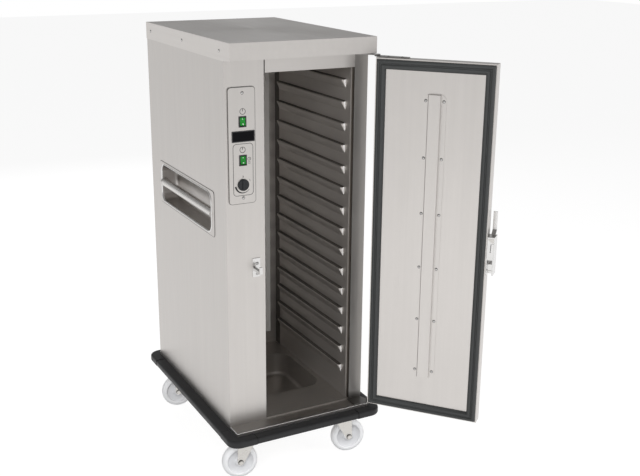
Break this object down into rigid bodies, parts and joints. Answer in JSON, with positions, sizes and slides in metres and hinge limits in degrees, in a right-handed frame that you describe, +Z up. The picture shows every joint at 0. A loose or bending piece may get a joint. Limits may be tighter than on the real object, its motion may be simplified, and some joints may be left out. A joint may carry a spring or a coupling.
{
  "type": "heated banquet cart",
  "caption": "Tall insulated heated banquet cart on swivel casters: pan runners, water basin, side push handle, control panel and a hinged gasketed door shown open.",
  "frame": {"origin": "on the floor under the middle of the cabinet", "axes": "+X to the right seen from the front, +Y to the back, +Z up; the opening faces -Y"},
  "size_m": [0.9127, 1.2497, 1.641],
  "materials": {
    "steel_satin": "satin",
    "steel_liner": "satin",
    "steel_bright": "polished",
    "zinc_steel": "zinc plated",
    "bumper_plastic": "matte",
    "gasket_rubber": "matte",
    "black_plastic": "satin",
    "green_plastic": "gloss",
    "wheel_white": "satin",
    "insulation": "fibrous",
    "aluminium": "satin",
    "motor_paint": "satin"
  },
  "bodies": {
    "cabinet": {"top_hood": "steel_satin", "side_panel_left": "steel_satin", "side_panel_right": "steel_satin", "header_panel": "steel_satin", "back_panel": "steel_satin", "base_tray": "steel_satin", "base_frame": "steel_satin", "runner_wall_left": "steel_liner", "runner_wall_right": "steel_liner", "liner_ceiling": "steel_liner", "liner_rear": "steel_liner", "liner_floor": "steel_liner", "basin_heater": "aluminium", "basin_cover": "steel_liner", "insulation_left": "insulation", "insulation_right": "insulation", "insulation_top": "insulation", "insulation_rear": "insulation", "duct_panel": "steel_liner", "fan_motor": "motor_paint", "air_heater": "steel_bright", "power_inlet": "black_plastic", "control_plate": "steel_satin", "display_unit": "black_plastic", "rocker_frames": "black_plastic", "thermostat": "black_plastic", "handle_dish": "steel_satin", "handle_bar": "steel_bright", "bumper_corners": "bumper_plastic", "bumper_side_rails": "bumper_plastic", "bumper_end_rails": "bumper_plastic", "caster_plates": "zinc_steel", "caster_bolts": "zinc_steel", "hinge_bracket_top": "steel_bright", "hinge_bracket_bottom": "steel_bright", "strike": "steel_bright", "body_screws": "steel_bright"},
    "door": {"door_shell": "steel_satin", "door_panel": "steel_satin", "door_insulation": "insulation", "door_gasket": "gasket_rubber", "door_strip": "steel_satin", "door_screws": "steel_bright", "hinge_arms": "steel_bright", "latch_body": "steel_bright"},
    "latch_lever": {"latch_lever": "steel_bright"},
    "rocker_upper": {"rocker_upper": "green_plastic"},
    "rocker_lower": {"rocker_lower": "green_plastic"},
    "knob": {"knob": "black_plastic"},
    "fan_impeller": {"fan_impeller": "aluminium"},
    "caster_fork_fl": {"caster_fork_fl": "zinc_steel"},
    "caster_wheel_fl": {"caster_wheel_fl": "wheel_white"},
    "caster_fork_fr": {"caster_fork_fr": "zinc_steel"},
    "caster_wheel_fr": {"caster_wheel_fr": "wheel_white"},
    "caster_fork_rl": {"caster_fork_rl": "zinc_steel"},
    "caster_wheel_rl": {"caster_wheel_rl": "wheel_white"},
    "caster_fork_rr": {"caster_fork_rr": "zinc_steel"},
    "caster_wheel_rr": {"caster_wheel_rr": "wheel_white"}
  },
  "joints": [
    {"name": "door_hinge", "type": "hinge", "parent": "cabinet", "child": "door", "pos_m": [0.2846, -0.4105, 0.9], "axis": [0, 0, 1], "range_deg": [-130, 110]},
    {"name": "latch_turn", "type": "hinge", "parent": "door", "child": "latch_lever", "pos_m": [0.57835, -0.76058, 0.868], "axis": [-0.6428, 0.766, 0], "range_deg": [0, 24], "stiffness_Nm_per_rad": 0.8, "springref_deg": -22.92},
    {"name": "rocker_upper_press", "type": "hinge", "parent": "cabinet", "child": "rocker_upper", "pos_m": [-0.2135, -0.358, 1.371], "axis": [1, 0, 0], "range_deg": [0, 16]},
    {"name": "rocker_lower_press", "type": "hinge", "parent": "cabinet", "child": "rocker_lower", "pos_m": [-0.2135, -0.358, 1.237], "axis": [1, 0, 0], "range_deg": [0, 16]},
    {"name": "knob_turn", "type": "hinge", "parent": "cabinet", "child": "knob", "pos_m": [-0.2135, -0.361, 1.1505], "axis": [0, 1, 0], "range_deg": [0, 270]},
    {"name": "fan_spin", "type": "hinge", "parent": "cabinet", "child": "fan_impeller", "pos_m": [0.0465, 0.27, 1.35], "axis": [0, 1, 0], "continuous": true},
    {"name": "swivel_fl", "type": "hinge", "parent": "cabinet", "child": "caster_fork_fl", "pos_m": [-0.194, -0.335, 0.17], "axis": [0, 0, 1], "continuous": true},
    {"name": "roll_fl", "type": "hinge", "parent": "caster_fork_fl", "child": "caster_wheel_fl", "pos_m": [-0.23142, -0.3284, 0.068], "axis": [-0.1736, -0.9848, 0], "continuous": true},
    {"name": "swivel_fr", "type": "hinge", "parent": "cabinet", "child": "caster_fork_fr", "pos_m": [0.194, -0.335, 0.17], "axis": [0, 0, 1], "continuous": true},
    {"name": "roll_fr", "type": "hinge", "parent": "caster_fork_fr", "child": "caster_wheel_fr", "pos_m": [0.23142, -0.3416, 0.068], "axis": [0.1736, 0.9848, 0], "continuous": true},
    {"name": "swivel_rl", "type": "hinge", "parent": "cabinet", "child": "caster_fork_rl", "pos_m": [-0.194, 0.335, 0.17], "axis": [0, 0, 1], "continuous": true},
    {"name": "roll_rl", "type": "hinge", "parent": "caster_fork_rl", "child": "caster_wheel_rl", "pos_m": [-0.23142, 0.3416, 0.068], "axis": [-0.1736, -0.9848, 0], "continuous": true},
    {"name": "swivel_rr", "type": "hinge", "parent": "cabinet", "child": "caster_fork_rr", "pos_m": [0.194, 0.335, 0.17], "axis": [0, 0, 1], "continuous": true},
    {"name": "roll_rr", "type": "hinge", "parent": "caster_fork_rr", "child": "caster_wheel_rr", "pos_m": [0.23117, 0.3429, 0.068], "axis": [-0.2079, 0.9781, 0], "continuous": true}
  ]
}
